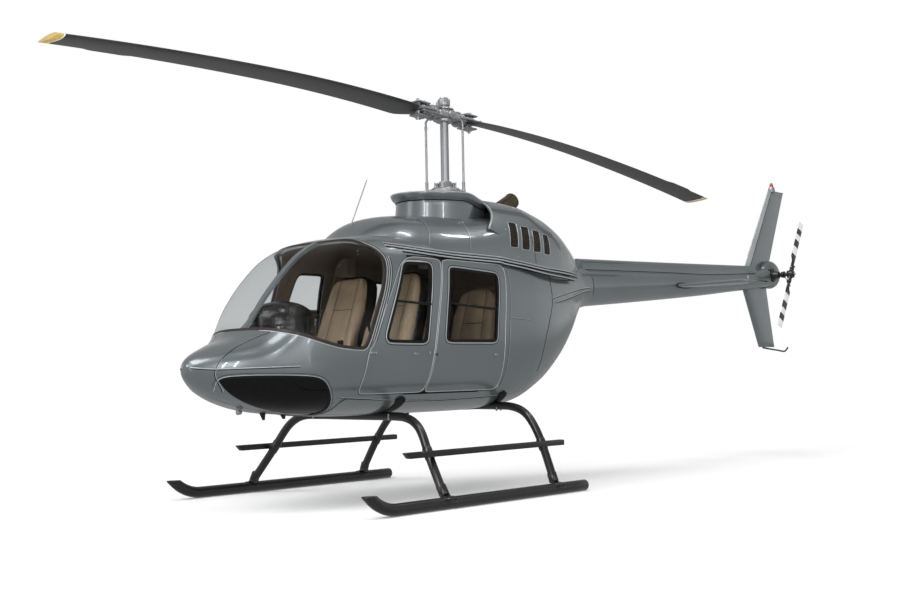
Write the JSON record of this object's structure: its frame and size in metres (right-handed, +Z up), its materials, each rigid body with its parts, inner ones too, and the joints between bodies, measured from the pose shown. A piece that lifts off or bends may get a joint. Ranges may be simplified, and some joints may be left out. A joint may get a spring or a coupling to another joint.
{
  "type": "light turbine helicopter",
  "caption": "Light turbine helicopter on high skids, with a two-bladed main rotor, striped tail rotor, glazed cabin with tan seats and hinged doors.",
  "frame": {"origin": "on the ground under the middle of the bounding box, with the rotor at rest fore and aft", "axes": "+X aft, +Y starboard, +Z up; the main rotor's axis is at x = -1.230 m"},
  "size_m": [9.6719, 2.374, 3.356],
  "materials": {
    "paint": "painted gloss metallic grey-blue",
    "alloy": "cast alloy",
    "deck": "alloy panel under tan carpet",
    "trim": "satin dark brown rubber and moulding",
    "black": "semi-gloss black powder coat",
    "blade": "satin dark grey with yellow tips",
    "steel": "polished",
    "bronze": "heat-stained bronze",
    "glass": "clear acrylic",
    "smoked": "dark tinted acrylic",
    "leather": "tan, stitched",
    "lining": "tan lining",
    "dash": "black grained cover",
    "lens": "red lens on a grey base",
    "stripe": "black and white bands"
  },
  "bodies": {
    "airframe": {"nose_shell": "paint", "chin_window_port": "smoked", "chin_window_starboard": "smoked", "centre_post": "trim", "windshield_port": "glass", "windshield_starboard": "glass", "roof_shell": "paint", "belly_shell": "paint", "front_post_port": "paint", "front_post_starboard": "paint", "side_panel_port": "paint", "side_panel_starboard": "paint", "cabin_floor": "deck", "cabin_rear_wall": "lining", "door_post_port": "lining", "door_post_starboard": "lining", "front_seat_port": "leather", "front_seat_starboard": "leather", "rear_bench": "leather", "instrument_panel": "dash", "aft_fuselage": "paint", "tail_boom": "paint", "drive_shaft_cover": "paint", "tail_fin": "paint", "stabilizer": "paint", "tail_skid": "black", "beacon": "lens", "tail_gearbox": "black", "front_cowl": "paint", "intake_collar": "paint", "engine_cowl": "paint", "exhaust_stack": "bronze", "engine_block": "alloy", "main_gearbox": "alloy", "skid_tube_port": "black", "skid_tube_starboard": "black", "front_cross_tube": "black", "rear_cross_tube": "black", "step_port": "black", "step_starboard": "black"},
    "main_rotor": {"rotor_mast": "steel", "rotor_head": "steel", "main_blade_fore": "blade", "main_blade_aft": "blade"},
    "tail_rotor": {"tail_rotor_hub": "black", "tail_blade_upper": "stripe", "tail_blade_lower": "stripe"},
    "crew_door_port": {"crew_door_port": "paint", "crew_window_port": "glass"},
    "rear_door_port": {"rear_door_port": "paint", "rear_window_port": "glass"},
    "crew_door_starboard": {"crew_door_starboard": "paint", "crew_window_starboard": "glass"},
    "rear_door_starboard": {"rear_door_starboard": "paint", "rear_window_starboard": "glass"}
  },
  "joints": [
    {"name": "main_rotor_spin", "type": "hinge", "parent": "airframe", "child": "main_rotor", "pos_m": [-1.23, 0, 3.231], "axis": [0, 0, 1], "continuous": true},
    {"name": "tail_rotor_spin", "type": "hinge", "parent": "airframe", "child": "tail_rotor", "pos_m": [4.256, -0.334, 2.033], "axis": [0, 1, 0], "continuous": true},
    {"name": "crew_door_port_hinge", "type": "hinge", "parent": "airframe", "child": "crew_door_port", "pos_m": [-2.76, -0.657, 1.13], "axis": [-0.1961, 0, -0.9806], "range_deg": [0, 72]},
    {"name": "rear_door_port_hinge", "type": "hinge", "parent": "airframe", "child": "rear_door_port", "pos_m": [-2.066, -0.672, 1.13], "axis": [-0.1609, 0, -0.987], "range_deg": [0, 72]},
    {"name": "crew_door_starboard_hinge", "type": "hinge", "parent": "airframe", "child": "crew_door_starboard", "pos_m": [-2.76, 0.657, 1.13], "axis": [0.1961, 0, 0.9806], "range_deg": [0, 72]},
    {"name": "rear_door_starboard_hinge", "type": "hinge", "parent": "airframe", "child": "rear_door_starboard", "pos_m": [-2.066, 0.672, 1.13], "axis": [0.1609, 0, 0.987], "range_deg": [0, 72]}
  ]
}
